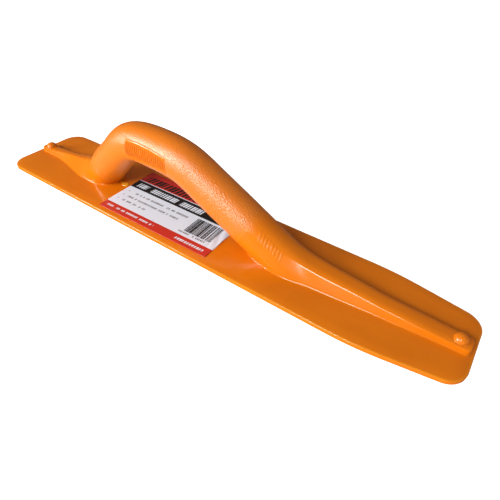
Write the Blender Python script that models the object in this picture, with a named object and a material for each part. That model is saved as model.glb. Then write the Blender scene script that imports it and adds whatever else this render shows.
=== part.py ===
"""Moulded plastic shaping float, 16 in long and 3 in wide.

A flat tapered blade carries a spine whose two feet rise into a bowed handle.
+X points to the narrow toe, +Y across the blade, +Z up.
The origin is on the sole, at the middle of the blade.
"""

import math

import bmesh
import bpy
import numpy as np
from mathutils import Vector

MM = 0.001

# Room left between pieces that touch
GAP = 0.3 * MM

# Blade
BLADE_LENGTH = 406.4 * MM
BLADE_WIDTH = 76.2 * MM
BLADE_THICKNESS = 4.0 * MM
TOE_WIDTH = 56.8 * MM
TOE_TAPER_LENGTH = 61.0 * MM
TAPER_BLEND_RADIUS = 227.0 * MM
HEEL_CORNER_RADIUS = 13.8 * MM
TOE_CORNER_RADIUS = 14.0 * MM
RIM_ROLL_WIDTH = 8.0 * MM
RIM_ROLL_DROP = 0.7 * MM
RIM_ROUND = 1.1 * MM
RIM_SWEEP = math.radians(80)
SOLE_ROUND = 0.6 * MM

# Small raised pad left by the mould on the blade, beside the rear foot
PAD_CENTRE_X = -90.0 * MM
PAD_LENGTH = 7.0 * MM
PAD_WIDTH = 4.4 * MM
PAD_HEIGHT = 0.6 * MM

# Handle centreline in the plane y = 0: along X, height, outer radius
HANDLE_PATH = (
    (-116.0 * MM, 3.2 * MM, 14.3 * MM),
    (-102.5 * MM, 21.8 * MM, 15.4 * MM),
    (-92.5 * MM, 32.0 * MM, 14.8 * MM),
    (-72.0 * MM, 49.9 * MM, 14.9 * MM),
    (-43.0 * MM, 53.5 * MM, 15.7 * MM),
    (-14.0 * MM, 49.7 * MM, 15.5 * MM),
    (5.0 * MM, 40.6 * MM, 15.5 * MM),
    (27.0 * MM, 29.4 * MM, 15.5 * MM),
    (76.0 * MM, 3.2 * MM, 15.5 * MM),
)
REAR_RUN_IN = 20.0 * MM
FRONT_RUN_OUT = 34.0 * MM

# Grip sleeve: where it starts and ends, measured along the centreline
GRIP_START = 16.0 * MM
GRIP_END = 190.0 * MM
CORE_RADIUS = 11.0 * MM

# Flat-floored panel sunk into each side of the grip
PANEL_X = (-62.0 * MM, -22.0 * MM)
PANEL_Z = (47.0 * MM, 59.0 * MM)
PANEL_FLOOR = 14.1 * MM

# Spine sections, with sloping sides under a low arch: along X, half width of the
# base, half width of the arch, height of its shoulders, height of its crest
REAR_SPINE = (
    (-199.5 * MM, 5.8 * MM, 5.0 * MM, 7.6 * MM, 8.2 * MM),
    (-187.0 * MM, 5.9 * MM, 4.4 * MM, 7.8 * MM, 8.5 * MM),
    (-171.0 * MM, 6.5 * MM, 3.4 * MM, 9.5 * MM, 9.9 * MM),
    (-161.0 * MM, 8.3 * MM, 3.1 * MM, 10.8 * MM, 11.2 * MM),
    (-151.0 * MM, 10.6 * MM, 3.4 * MM, 12.2 * MM, 12.7 * MM),
    (-141.0 * MM, 13.2 * MM, 4.4 * MM, 14.2 * MM, 14.9 * MM),
    (-131.0 * MM, 15.2 * MM, 5.3 * MM, 16.2 * MM, 17.2 * MM),
    (-113.0 * MM, 13.0 * MM, 6.5 * MM, 19.5 * MM, 21.5 * MM),
)
FRONT_SPINE = (
    (70.0 * MM, 14.0 * MM, 8.6 * MM, 18.0 * MM, 20.5 * MM),
    (80.0 * MM, 15.4 * MM, 8.2 * MM, 16.4 * MM, 18.6 * MM),
    (94.0 * MM, 14.1 * MM, 7.8 * MM, 14.0 * MM, 15.4 * MM),
    (108.0 * MM, 12.9 * MM, 7.4 * MM, 12.4 * MM, 13.8 * MM),
    (122.0 * MM, 11.7 * MM, 6.9 * MM, 11.4 * MM, 12.6 * MM),
    (148.0 * MM, 9.6 * MM, 6.5 * MM, 9.2 * MM, 10.4 * MM),
    (173.0 * MM, 7.7 * MM, 6.4 * MM, 8.3 * MM, 9.3 * MM),
    (185.0 * MM, 7.0 * MM, 6.2 * MM, 7.9 * MM, 8.8 * MM),
    (200.5 * MM, 6.4 * MM, 6.0 * MM, 7.6 * MM, 8.5 * MM),
)
SPINE_ARCH_POWER = 3.0
SPINE_END_ROUND = 3.0 * MM
SPINE_END_DROP = 0.2
SPINE_SKIRT = 2.0 * MM

# Tongue under the spine, which sits in a groove in the blade
TONGUE_WIDTH = 3.0 * MM
TONGUE_DEPTH = 0.9 * MM
REAR_TONGUE = (-183.0 * MM, -110.0 * MM)
FRONT_TONGUE = (60.0 * MM, 185.0 * MM)

# Domed studs at the two ends of the spine
STUD_HEAD_RADIUS = 4.4 * MM
STUD_HEAD_HEIGHT = 4.0 * MM
STUD_HEAD_EDGE = 0.4 * MM
STUD_SHANK_RADIUS = 2.0 * MM
STUD_HOLE_BOTTOM = 1.8 * MM
REAR_STUD_X = -191.0 * MM
FRONT_STUD_X = 193.0 * MM
STUD_SEAT = 8.7 * MM

# Label, stuck on a little askew
LABEL_CENTRE = (-29.5 * MM, -1.2 * MM)
LABEL_TURN = math.radians(1.1)
LABEL_LENGTH = 110.0 * MM
LABEL_WIDTH = 63.3 * MM
LABEL_THICKNESS = 0.3 * MM
LABEL_CORNER = 1.5 * MM

# How finely round shapes are divided
RING_POINTS = 24
RING_SPACING = 6.0 * MM
ARCH_STEPS = 12
SECTION_SPACING = 5.0 * MM
SPINE_END_STEPS = (0.01, 0.08, 0.3, 0.62)
CORNER_STEPS = 6
BLEND_STEPS = 3
RIM_STEPS = 3
ROLL_STEPS = 4
STUD_STEPS = 24
DOME_ANGLES = (20, 40, 60, 80)
LABEL_CORNER_STEPS = 3
SLOPE_PROBE = 0.5 * MM
SMOOTH_ANGLE = math.radians(35)

SEAT = BLADE_THICKNESS + GAP

ORANGE = (0.86, 0.20, 0.015, 1.0)
GRIP_ORANGE = (0.88, 0.23, 0.03, 1.0)
LABEL_WHITE = (0.72, 0.70, 0.71, 1.0)


def clear_scene():
    for item in list(bpy.data.objects):
        bpy.data.objects.remove(item, do_unlink=True)


def plastic(name, colour, roughness):
    material = bpy.data.materials.new(name)
    material.use_nodes = True
    shader = material.node_tree.nodes["Principled BSDF"]
    shader.inputs["Base Color"].default_value = colour
    shader.inputs["Roughness"].default_value = roughness
    shader.inputs["Metallic"].default_value = 0.0
    return material


def new_object(name, mesh_builder, material=None, smooth=True):
    """Turn a bmesh into a named object with faces pointing out."""
    bmesh.ops.recalc_face_normals(mesh_builder, faces=mesh_builder.faces)
    mesh = bpy.data.meshes.new(name)
    mesh_builder.to_mesh(mesh)
    mesh_builder.free()
    if smooth:
        mesh.shade_smooth()
        mesh.set_sharp_from_angle(angle=SMOOTH_ANGLE)
    item = bpy.data.objects.new(name, mesh)
    bpy.context.collection.objects.link(item)
    if material:
        mesh.materials.append(material)
    return item


def make_tool(item):
    """A helper body that only shapes another piece."""
    item.hide_render = True
    item.display_type = "WIRE"
    return item


def combine(item, tool, operation):
    step = item.modifiers.new(f"{operation}_{tool.name}", "BOOLEAN")
    step.operation = operation
    step.solver = "EXACT"
    step.object = make_tool(tool)


def bridge_rings(builder, rings):
    """Skin a list of closed vertex rings of equal count."""
    count = len(rings[0])
    for lower, upper in zip(rings, rings[1:]):
        for i in range(count):
            j = (i + 1) % count
            builder.faces.new((lower[i], lower[j], upper[j], upper[i]))


def add_ring(builder, points):
    return [builder.verts.new(point) for point in points]


def solid_from_rings(name, rings, material=None, smooth=True):
    """A body skinned over closed rings of points, with flat ends."""
    builder = bmesh.new()
    vertex_rings = [add_ring(builder, ring) for ring in rings]
    bridge_rings(builder, vertex_rings)
    builder.faces.new(list(reversed(vertex_rings[0])))
    builder.faces.new(vertex_rings[-1])
    return new_object(name, builder, material, smooth)


def box(name, low, high):
    rings = []
    for z in (low[2], high[2]):
        rings.append([
            (low[0], low[1], z),
            (high[0], low[1], z),
            (high[0], high[1], z),
            (low[0], high[1], z),
        ])
    return solid_from_rings(name, rings, smooth=False)


def smooth_through(stations, rows):
    """Natural cubic spline through rows of values given at rising stations."""
    x = np.array(stations, dtype=float)
    y = np.array(rows, dtype=float)
    step = np.diff(x)
    count = len(x)
    system = np.zeros((count, count))
    right = np.zeros_like(y)
    system[0, 0] = 1.0
    system[-1, -1] = 1.0
    for i in range(1, count - 1):
        system[i, i - 1] = step[i - 1]
        system[i, i] = 2.0 * (step[i - 1] + step[i])
        system[i, i + 1] = step[i]
        rise = (y[i + 1] - y[i]) / step[i]
        fall = (y[i] - y[i - 1]) / step[i - 1]
        right[i] = 6.0 * (rise - fall)
    bend = np.linalg.solve(system, right)

    def value(at):
        i = int(np.clip(np.searchsorted(x, at) - 1, 0, count - 2))
        a = (x[i + 1] - at) / step[i]
        b = (at - x[i]) / step[i]
        curve = (a ** 3 - a) * bend[i] + (b ** 3 - b) * bend[i + 1]
        row = a * y[i] + b * y[i + 1] + curve * step[i] ** 2 / 6.0
        return row.tolist()

    return value


# ---------------------------------------------------------------- blade

def corner_arcs():
    """Arcs of the half outline at y >= 0, heel to toe: centre, radius, angles."""
    half_length = BLADE_LENGTH / 2
    half_width = BLADE_WIDTH / 2
    half_toe = TOE_WIDTH / 2
    taper_start = half_length - TOE_TAPER_LENGTH
    corners = [
        Vector((-half_length, 0.0)),
        Vector((-half_length, half_width)),
        Vector((taper_start, half_width)),
        Vector((half_length, half_toe)),
        Vector((half_length, 0.0)),
    ]
    radii = (HEEL_CORNER_RADIUS, TAPER_BLEND_RADIUS, TOE_CORNER_RADIUS)
    steps = (CORNER_STEPS, BLEND_STEPS, CORNER_STEPS)
    arcs = []
    for i, radius in enumerate(radii, start=1):
        back = (corners[i - 1] - corners[i]).normalized()
        ahead = (corners[i + 1] - corners[i]).normalized()
        half_angle = back.angle(ahead) / 2
        centre = corners[i] + (back + ahead).normalized() * (radius / math.sin(half_angle))
        foot_back = corners[i] + back * (radius / math.tan(half_angle)) - centre
        foot_ahead = corners[i] + ahead * (radius / math.tan(half_angle)) - centre
        first = math.atan2(foot_back.y, foot_back.x)
        last = math.atan2(foot_ahead.y, foot_ahead.x)
        arcs.append((centre, radius, first, last, steps[i - 1]))
    return arcs


def blade_outline(inset):
    """Closed outline of the blade, moved inward by inset."""
    half = []
    for centre, radius, first, last, steps in corner_arcs():
        for k in range(steps + 1):
            angle = first + (last - first) * k / steps
            reach = radius - inset
            half.append((centre.x + reach * math.cos(angle), centre.y + reach * math.sin(angle)))
    other = [(x, -y) for x, y in reversed(half)]
    return half + other


def rim_profile():
    """Inset and height of each ring, from the sole up to the flat top."""
    edge_top = BLADE_THICKNESS - RIM_ROLL_DROP
    profile = []
    for k in range(RIM_STEPS + 1):
        angle = math.radians(90) * k / RIM_STEPS
        profile.append((SOLE_ROUND * (1 - math.sin(angle)), SOLE_ROUND * (1 - math.cos(angle))))
    for k in range(RIM_STEPS + 1):
        angle = RIM_SWEEP * k / RIM_STEPS
        inset = RIM_ROUND * (1 - math.cos(angle))
        profile.append((inset, edge_top - RIM_ROUND * (1 - math.sin(angle))))
    for k in range(1, ROLL_STEPS + 1):
        share = k / ROLL_STEPS
        inset = RIM_ROUND + (RIM_ROLL_WIDTH - RIM_ROUND) * share
        profile.append((inset, BLADE_THICKNESS - RIM_ROLL_DROP * (1 - share) ** 2))
    return profile


def build_blade(material):
    rings = []
    for inset, height in rim_profile():
        rings.append([(x, y, height) for x, y in blade_outline(inset)])
    blade = solid_from_rings("blade", rings, material)
    pad_low = (PAD_CENTRE_X - PAD_LENGTH / 2, -PAD_WIDTH / 2, BLADE_THICKNESS / 2)
    pad_high = (PAD_CENTRE_X + PAD_LENGTH / 2, PAD_WIDTH / 2, BLADE_THICKNESS + PAD_HEIGHT)
    combine(blade, box("mould_pad", pad_low, pad_high), "UNION")
    groove_floor = SEAT - TONGUE_DEPTH - 2 * GAP
    half_groove = TONGUE_WIDTH / 2 + GAP
    for name, (start, end) in (("rear_groove", REAR_TONGUE), ("front_groove", FRONT_TONGUE)):
        low = (start - GAP, -half_groove, groove_floor)
        high = (end + GAP, half_groove, SEAT + SPINE_SKIRT)
        combine(blade, box(name, low, high), "DIFFERENCE")
    for name, x in (("rear_stud_pit", REAR_STUD_X), ("front_stud_pit", FRONT_STUD_X)):
        radius = STUD_SHANK_RADIUS + GAP
        pit = stud_hole(name, x, radius, STUD_HOLE_BOTTOM, SEAT + SPINE_SKIRT)
        combine(blade, pit, "DIFFERENCE")
    return blade


# ---------------------------------------------------------------- handle

def handle_curve():
    """Spline of (x, z, radius) over distance along the centreline, and its length."""
    distance = [0.0]
    for (x0, z0, _), (x1, z1, _) in zip(HANDLE_PATH, HANDLE_PATH[1:]):
        distance.append(distance[-1] + math.hypot(x1 - x0, z1 - z0))
    return smooth_through(distance, HANDLE_PATH), distance[-1]


def handle_ring(curve, length, at, radius, angles):
    """Ring of points square to the centreline; angle 0 is the outer side."""
    inside = min(max(at, 0.0), length)
    x0, z0, _ = curve(max(inside - SLOPE_PROBE, 0.0))
    x1, z1, _ = curve(min(inside + SLOPE_PROBE, length))
    run = math.hypot(x1 - x0, z1 - z0)
    along = Vector(((x1 - x0) / run, 0.0, (z1 - z0) / run))
    outward = Vector((-along.z, 0.0, along.x))
    x, z, _ = curve(inside)
    centre = Vector((x, 0.0, z)) + along * (at - inside)
    points = []
    for angle in angles:
        side = Vector((0.0, math.sin(angle), 0.0))
        points.append(centre + radius * (outward * math.cos(angle) + side))
    return points


def even_angles():
    return [math.tau * k / RING_POINTS for k in range(RING_POINTS)]


def spaced(start, end):
    """Stations from start to end, about RING_SPACING apart."""
    count = max(1, round((end - start) / RING_SPACING))
    return [start + (end - start) * k / count for k in range(count + 1)]


def build_handle_core(curve, length):
    """Feet at full radius and the thinner bar that runs through the grip."""
    stations = []
    for at in spaced(-REAR_RUN_IN, GRIP_START - GAP):
        stations.append((at, curve(min(max(at, 0.0), length))[2]))
    for at in spaced(GRIP_START - GAP, GRIP_END + GAP):
        stations.append((at, CORE_RADIUS))
    for at in spaced(GRIP_END + GAP, length + FRONT_RUN_OUT):
        stations.append((at, curve(min(at, length))[2]))
    angles = even_angles()
    rings = [handle_ring(curve, length, at, radius, angles) for at, radius in stations]
    return solid_from_rings("handle_core", rings)


def build_grip(curve, length, material):
    """Sleeve over the core, open at both ends, with a panel on each side."""
    angles = even_angles()
    builder = bmesh.new()
    outer = []
    inner = []
    for at in spaced(GRIP_START, GRIP_END):
        points = handle_ring(curve, length, at, curve(at)[2], angles)
        outer.append(add_ring(builder, points))
        points = handle_ring(curve, length, at, CORE_RADIUS + GAP, angles)
        inner.append(add_ring(builder, points))
    bridge_rings(builder, outer)
    bridge_rings(builder, inner)
    bridge_rings(builder, [outer[0], inner[0]])
    bridge_rings(builder, [outer[-1], inner[-1]])
    grip = new_object("grip_sleeve", builder, material)
    outside = BLADE_WIDTH / 2
    for name, y_range in (("near_panel", (-outside, -PANEL_FLOOR)), ("far_panel", (PANEL_FLOOR, outside))):
        low = (PANEL_X[0], y_range[0], PANEL_Z[0])
        high = (PANEL_X[1], y_range[1], PANEL_Z[1])
        combine(grip, box(name, low, high), "DIFFERENCE")
    return grip


# ---------------------------------------------------------------- spine

def spine_section(x, base, arch, shoulder, crest):
    """Ring of one spine section: a skirt, sloping sides and the arch between them."""
    ring = [(x, base, SEAT - SPINE_SKIRT), (x, base, SEAT)]
    for k in range(ARCH_STEPS + 1):
        across = 1 - 2 * k / ARCH_STEPS
        z = crest - (crest - shoulder) * abs(across) ** SPINE_ARCH_POWER
        ring.append((x, arch * across, z))
    ring.append((x, -base, SEAT))
    ring.append((x, -base, SEAT - SPINE_SKIRT))
    return ring


def end_rounding(distance):
    """How far the sides pull in near the free end of the spine."""
    if distance >= SPINE_END_ROUND:
        return 0.0
    rest = SPINE_END_ROUND - distance
    return SPINE_END_ROUND - math.sqrt(SPINE_END_ROUND ** 2 - rest ** 2)


def build_spine(name, sections, free_end):
    """Loft one half of the spine; free_end is the X of its rounded tip."""
    start = sections[0][0]
    end = sections[-1][0]
    shape = smooth_through([row[0] for row in sections], [row[1:] for row in sections])
    count = round((end - start) / SECTION_SPACING)
    stations = [start + (end - start) * k / count for k in range(count + 1)]
    stations.remove(free_end)
    inward = 1 if free_end == start else -1
    for share in SPINE_END_STEPS:
        stations.append(free_end + inward * SPINE_END_ROUND * share)
    rings = []
    for x in sorted(stations):
        base, arch, shoulder, crest = shape(x)
        pull = end_rounding(abs(x - free_end))
        drop = pull * SPINE_END_DROP
        rings.append(spine_section(x, base - pull, arch - pull, shoulder - drop, crest - drop))
    return solid_from_rings(name, rings)


def build_spine_frame(curve, length, material):
    frame = build_handle_core(curve, length)
    frame.name = "spine_frame"
    frame.data.materials.append(material)
    combine(frame, build_spine("rear_spine", REAR_SPINE, REAR_SPINE[0][0]), "UNION")
    combine(frame, build_spine("front_spine", FRONT_SPINE, FRONT_SPINE[-1][0]), "UNION")
    half_blade = BLADE_LENGTH / 2
    below = box("below_seat", (-half_blade, -half_blade, -half_blade), (half_blade, half_blade, SEAT))
    combine(frame, below, "DIFFERENCE")
    for name, (start, end) in (("rear_tongue", REAR_TONGUE), ("front_tongue", FRONT_TONGUE)):
        low = (start, -TONGUE_WIDTH / 2, SEAT - GAP - TONGUE_DEPTH)
        high = (end, TONGUE_WIDTH / 2, SEAT + SPINE_SKIRT)
        combine(frame, box(name, low, high), "UNION")
    for name, x in (("rear_stud_hole", REAR_STUD_X), ("front_stud_hole", FRONT_STUD_X)):
        radius = STUD_SHANK_RADIUS + GAP
        combine(frame, stud_hole(name, x, radius, 0.0, STUD_SEAT + SPINE_SKIRT), "DIFFERENCE")
        radius = STUD_HEAD_RADIUS + GAP
        facing = stud_hole(name + "_seat", x, radius, STUD_SEAT - GAP, STUD_SEAT + SPINE_SKIRT)
        combine(frame, facing, "DIFFERENCE")
    return frame


# ---------------------------------------------------------------- studs

def circle(x, radius, z):
    points = []
    for k in range(STUD_STEPS):
        angle = math.tau * k / STUD_STEPS
        points.append((x + radius * math.cos(angle), radius * math.sin(angle), z))
    return points


def stud_hole(name, x, radius, low, high):
    return solid_from_rings(name, [circle(x, radius, low), circle(x, radius, high)])


def build_stud(name, x, material):
    """Domed head over a straight shank that reaches into the blade."""
    rings = [
        circle(x, STUD_SHANK_RADIUS, STUD_HOLE_BOTTOM + GAP),
        circle(x, STUD_SHANK_RADIUS, STUD_SEAT),
        circle(x, STUD_HEAD_RADIUS, STUD_SEAT),
        circle(x, STUD_HEAD_RADIUS, STUD_SEAT + STUD_HEAD_EDGE),
    ]
    rise = STUD_HEAD_HEIGHT - STUD_HEAD_EDGE
    for degrees in DOME_ANGLES:
        angle = math.radians(degrees)
        height = STUD_SEAT + STUD_HEAD_EDGE + rise * math.sin(angle)
        rings.append(circle(x, STUD_HEAD_RADIUS * math.cos(angle), height))
    return solid_from_rings(name, rings, material)


# ---------------------------------------------------------------- label

def build_label(material):
    """Thin rectangle with small round corners, turned about its centre."""
    low = BLADE_THICKNESS + GAP
    outline = []
    reach_x = LABEL_LENGTH / 2 - LABEL_CORNER
    reach_y = LABEL_WIDTH / 2 - LABEL_CORNER
    corners = ((reach_x, reach_y), (-reach_x, reach_y), (-reach_x, -reach_y), (reach_x, -reach_y))
    for quarter, (corner_x, corner_y) in enumerate(corners):
        for k in range(LABEL_CORNER_STEPS + 1):
            angle = math.radians(90) * (quarter + k / LABEL_CORNER_STEPS)
            x = corner_x + LABEL_CORNER * math.cos(angle)
            y = corner_y + LABEL_CORNER * math.sin(angle)
            turned_x = x * math.cos(LABEL_TURN) - y * math.sin(LABEL_TURN)
            turned_y = x * math.sin(LABEL_TURN) + y * math.cos(LABEL_TURN)
            outline.append((LABEL_CENTRE[0] + turned_x, LABEL_CENTRE[1] + turned_y))
    rings = [[(x, y, z) for x, y in outline] for z in (low, low + LABEL_THICKNESS)]
    return solid_from_rings("label", rings, material, smooth=False)


def main():
    clear_scene()
    gloss = plastic("gloss_orange_plastic", ORANGE, 0.3)
    matt = plastic("textured_orange_plastic", GRIP_ORANGE, 0.5)
    printed = plastic("printed_label", LABEL_WHITE, 0.35)
    curve, length = handle_curve()
    build_blade(gloss)
    build_spine_frame(curve, length, gloss)
    build_grip(curve, length, matt)
    build_stud("rear_stud", REAR_STUD_X, gloss)
    build_stud("front_stud", FRONT_STUD_X, gloss)
    build_label(printed)


main()
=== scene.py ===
"""Looks of a moulded plastic shaping float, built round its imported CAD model.

The blade, the spine with its two feet, the grip, the end studs and the label
are remade with fine meshes and procedural materials, in the CAD's own frame:
+X points to the narrow toe, +Y across the blade, +Z up, and the sole is at z = 0.
Shapes are worked out in millimetres and written to the meshes in metres.
"""

import itertools
import math

import bpy
import numpy as np
from mathutils import Matrix, Vector


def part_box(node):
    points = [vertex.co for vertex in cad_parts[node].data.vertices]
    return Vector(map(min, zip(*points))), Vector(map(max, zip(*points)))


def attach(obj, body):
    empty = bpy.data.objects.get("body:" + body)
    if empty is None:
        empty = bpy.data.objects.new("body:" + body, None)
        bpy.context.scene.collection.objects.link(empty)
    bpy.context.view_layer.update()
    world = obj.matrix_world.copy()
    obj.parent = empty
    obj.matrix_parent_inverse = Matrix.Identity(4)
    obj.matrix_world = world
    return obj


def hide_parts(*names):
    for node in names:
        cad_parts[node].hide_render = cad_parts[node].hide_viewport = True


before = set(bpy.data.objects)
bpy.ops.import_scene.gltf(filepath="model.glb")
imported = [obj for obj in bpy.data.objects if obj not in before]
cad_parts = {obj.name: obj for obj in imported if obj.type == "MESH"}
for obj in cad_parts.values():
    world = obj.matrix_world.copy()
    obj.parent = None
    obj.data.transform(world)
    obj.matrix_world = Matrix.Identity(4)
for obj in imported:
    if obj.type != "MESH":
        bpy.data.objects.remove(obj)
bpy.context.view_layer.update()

MM = 0.001
BLADE_LOW, BLADE_HIGH = [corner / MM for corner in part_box("blade")]

# Blade: a plate with a tapered toe, whose top rolls down a little towards the rim
BLADE_LENGTH = BLADE_HIGH.x - BLADE_LOW.x
BLADE_WIDTH = BLADE_HIGH.y - BLADE_LOW.y
BLADE_TOP = 4.0
TOE_WIDTH = 56.8
TOE_TAPER_LENGTH = 61.0
TAPER_BLEND_RADIUS = 227.0
HEEL_CORNER_RADIUS = 13.8
TOE_CORNER_RADIUS = 14.0
RIM_ROLL_WIDTH = 8.0
RIM_ROLL_DROP = 0.5
RIM_ROUND = 0.7
RIM_ROUND_END = 80.0
SOLE_ROUND = 0.6

# Rings of vertices round the blade: how far in the flat of the top and the sole
# starts, a ring just inside the sole's round, and how finely each part is divided
FLAT_INSET = 12.0
SOLE_MARGIN = 1.5
OUTLINE_ARC_STEPS = 20
OUTLINE_SPACING = 6.0
SOLE_STEPS = 6
RIM_STEPS = 8
ROLL_STEPS = 14

# Amber tint painted along the rim's crest as a painted highlight: its strength and how far in from the
# edge it ends
RIM_PAINTED_HIGHLIGHT = 0.25
RIM_PAINTED_HIGHLIGHT_WIDTH = 1.7

# Small raised pad left by the mould on the blade, beside the rear foot: its profile
# as shares of the half size and heights above the blade, and how square its plan is
PAD_CENTRE = (-90.0, 0.4)
PAD_SIZE = (7.0, 4.4)
PAD_PROFILE = ((1.0, -0.5), (1.0, 0.0), (0.97, 0.35), (0.88, 0.5), (0.74, 0.56), (0.5, 0.5), (0.25, 0.46))
PAD_PLAN_POWER = 0.7
PAD_COUNT = 48

# Handle centreline in the plane y = 0: along X, height, outer radius
HANDLE_PATH = np.array((
    (-116.0, 3.2, 14.3),
    (-102.5, 21.8, 15.4),
    (-92.5, 32.0, 14.8),
    (-72.0, 49.9, 14.9),
    (-43.0, 53.5, 15.7),
    (-14.0, 49.7, 15.5),
    (5.0, 40.6, 15.5),
    (27.0, 29.4, 15.5),
    (76.0, 3.2, 15.5),
))

# Grip sleeve over the core bar, as distances along the centreline. Its rear edge is
# rounded, its front end is feathered into the foot, and under it the foot's full
# size gives way to the core bar's between the two distances in from each end.
GRIP_START = 16.0
GRIP_END = 190.0
GRIP_EDGE_ROUND = 0.5
GRIP_EDGE_DROP = 0.12
GRIP_FEATHER = 10.0
SEAM_TUCK = 0.06
SEAM_TUCK_START = 0.1
SEAM_TUCK_END = 8.0
CORE_RADIUS = 11.0
CORE_START = (1.0, 5.0)
CORE_END = (18.0, 12.0)
BORE_RADIUS = CORE_RADIUS + 0.1

# Rings of vertices round the grip: places along its rounded rear edge, how far past
# the panels the dense rings go, and how many there are behind, along and in front
# of the panels and in the bore
GRIP_EDGE_RINGS = (0.0, 0.12, 0.25, 0.4)
GRIP_EDGE_END = 0.6
GRIP_PANEL_MARGIN = 1.0
GRIP_RING_COUNTS = (60, 190, 80)
BORE_RINGS = 24

# Fine texture: where it starts on the rear foot, on top and at the sides, where it
# fades out on the front foot, and how it fades off the round part of the feet
GRAIN_START_TOP = 2.3
GRAIN_START_SIDE = 16.0
GRAIN_START_FADE = 0.5
GRAIN_END = (185.0, 195.0)
GRAIN_OFF_TUBE = (0.3, 2.0)

# Ribbed panel on each side of the grip: its ends along X, how far the flat it is
# cut to stands from the middle at each end, limits for that distance as a share of
# the grip's radius, and the bead along its edge, which is lower between the ribs
PANEL_X = (-62.0, -22.0)
PANEL_END_SOFTNESS = 0.4
PANEL_FLOOR = (13.6, 14.5)
PANEL_FLOOR_SHARE = (0.86, 0.955)
PANEL_BEAD_WIDTH = 0.24
PANEL_BEAD_HEIGHT = 0.2
PANEL_BEAD_GAP = 0.25
PANEL_RIB_PITCH = 2.1
PANEL_RIB_HEIGHT = 0.85
PANEL_RIB_FLANK = (-0.35, 0.45)
PANEL_CUT_SOFTNESS = 0.1
# Height at which the grip's part with the panels is looked up
PANEL_LEVEL = 53.0

# Rows across half a panel, as shares of its half height, and how many rows lie on
# the grip between the two panels
PANEL_EDGE_ROWS = (0.86, 0.9, 0.93, 0.955, 0.975, 0.99, 1.005, 1.02, 1.04, 1.065, 1.1, 1.15)
PANEL_MIDDLE_REACH = 0.82
PANEL_MIDDLE_COUNT = 34
GRIP_COARSE_COUNT = 46

# Short raised ribs on the near side of the front foot
FOOT_RIB_COUNT = 8
FOOT_RIB_AT = (196.0, 216.0)
FOOT_RIB_ANGLES = (-32.0, -59.0)
FOOT_RIB_SLANT = 3.2
FOOT_RIB_WIDTH = 1.7
FOOT_RIB_HEIGHT = 0.02
FOOT_RIB_END_POWER = 6
FOOT_RIB_END_SHARE = 0.02
FOOT_RIB_GRAIN = 0.3
FOOT_RIB_STEPS = 14
FOOT_RIB_AROUND = 8

# Spine sections, with sloping sides under a low arch: along X, half width of the
# base, half width of the arch, height of its shoulders, height of its crest
REAR_SPINE = np.array((
    (-199.5, 5.8, 5.0, 7.6, 8.2),
    (-187.0, 5.9, 4.4, 7.8, 8.5),
    (-171.0, 6.5, 3.4, 9.5, 9.9),
    (-161.0, 8.3, 3.1, 10.8, 11.2),
    (-151.0, 10.6, 3.4, 12.2, 12.7),
    (-141.0, 13.2, 4.4, 14.2, 14.9),
    (-131.0, 15.2, 5.3, 16.2, 17.2),
    (-113.0, 13.0, 6.5, 19.5, 21.5),
))
FRONT_SPINE = np.array((
    (70.0, 14.0, 8.6, 18.0, 20.5),
    (80.0, 15.4, 8.2, 16.4, 18.6),
    (94.0, 14.1, 7.8, 14.0, 15.4),
    (108.0, 12.9, 7.4, 12.4, 13.8),
    (122.0, 11.7, 6.9, 11.4, 12.6),
    (148.0, 9.6, 6.5, 9.2, 10.4),
    (173.0, 7.7, 6.4, 8.3, 9.3),
    (185.0, 7.0, 6.2, 7.9, 8.8),
    (200.5, 6.4, 6.0, 7.6, 8.5),
))
SPINE_ARCH_POWER = 3.0
SHOULDER_ROUND = 0.45
SPINE_END_ROUND = 1.8
SPINE_PLAN_ROUND = 6.5

# How widely shapes run into each other
REAR_FOOT_BLEND = 7.0
FRONT_FOOT_BLEND = 5.0
BASE_BLEND = 1.4

# The fillet round the base ends just under the blade's surface, and no further out
# than a margin past the blend; the base goes down into the blade
BASE_SINK = 0.03
BASE_MARGIN = 0.2
BASE_DEPTH = 1.5

# Sampling of the spine and feet: start, end and spacing of each run along each
# axis. The bar inside the grip is out of sight, so the middle run is coarse.
FRAME_X_RUNS = ((-202.0, -78.0, 0.64), (-78.0, 38.0, 2.0), (38.0, 203.5, 0.64))
FRAME_Y_RUNS = ((-20.5, 20.5, 0.56),)
FRAME_Z_RUNS = ((1.2, 8.0, 0.46), (8.0, 71.0, 0.68))

# Label: centre, turn in degrees, size, and how far its top is above the blade
LABEL_CENTRE = (-29.5, -1.2)
LABEL_TURN = 1.1
LABEL_LENGTH = 110.0
LABEL_WIDTH = 63.3
LABEL_LIFT = 0.22
LABEL_BACK_LIFT = 0.05
LABEL_COLUMNS = 110
LABEL_ROWS = 64

# Soft wrinkles at the label's front end, and its lifted near front corner
WRINKLE_X = (38.0, 52.0)
WRINKLE_Y = (-26.0, -14.0)
WRINKLE_WAVE = (0.9, 0.35)
WRINKLE_HEIGHT = 0.45
CORNER_REACH = 12.0
CORNER_HEIGHT = 0.15

# Domed studs at the ends of the spine, each with a small fillet round its foot
STUD_RADIUS = 4.4
STUD_EDGE = 0.3
STUD_RISE = 3.6
STUD_SEAT = 8.55
STUD_FILLET = 0.5
STUD_FILLET_SINK = 0.02
STUD_SKIRT = 0.3
STUD_FILLET_STEPS = 6
STUD_DOME_STEPS = 24
STUD_COUNT = 64
STUD_GRAIN = 0.4

# Camera at the photograph's viewing angle: place in millimetres, angles in radians,
# focal length as a share of the picture's width
CAMERA_PLACE = (166.054, -195.794, 199.818)
CAMERA_YAW = 2.17033
CAMERA_PITCH = 0.745376
CAMERA_ROLL = -0.034042
CAMERA_SHIFT = (0.0262, 0.0214)
FOCAL_SHARE = 0.81222
SENSOR_WIDTH = 36.0
NEAR_CLIP = 0.01

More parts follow.
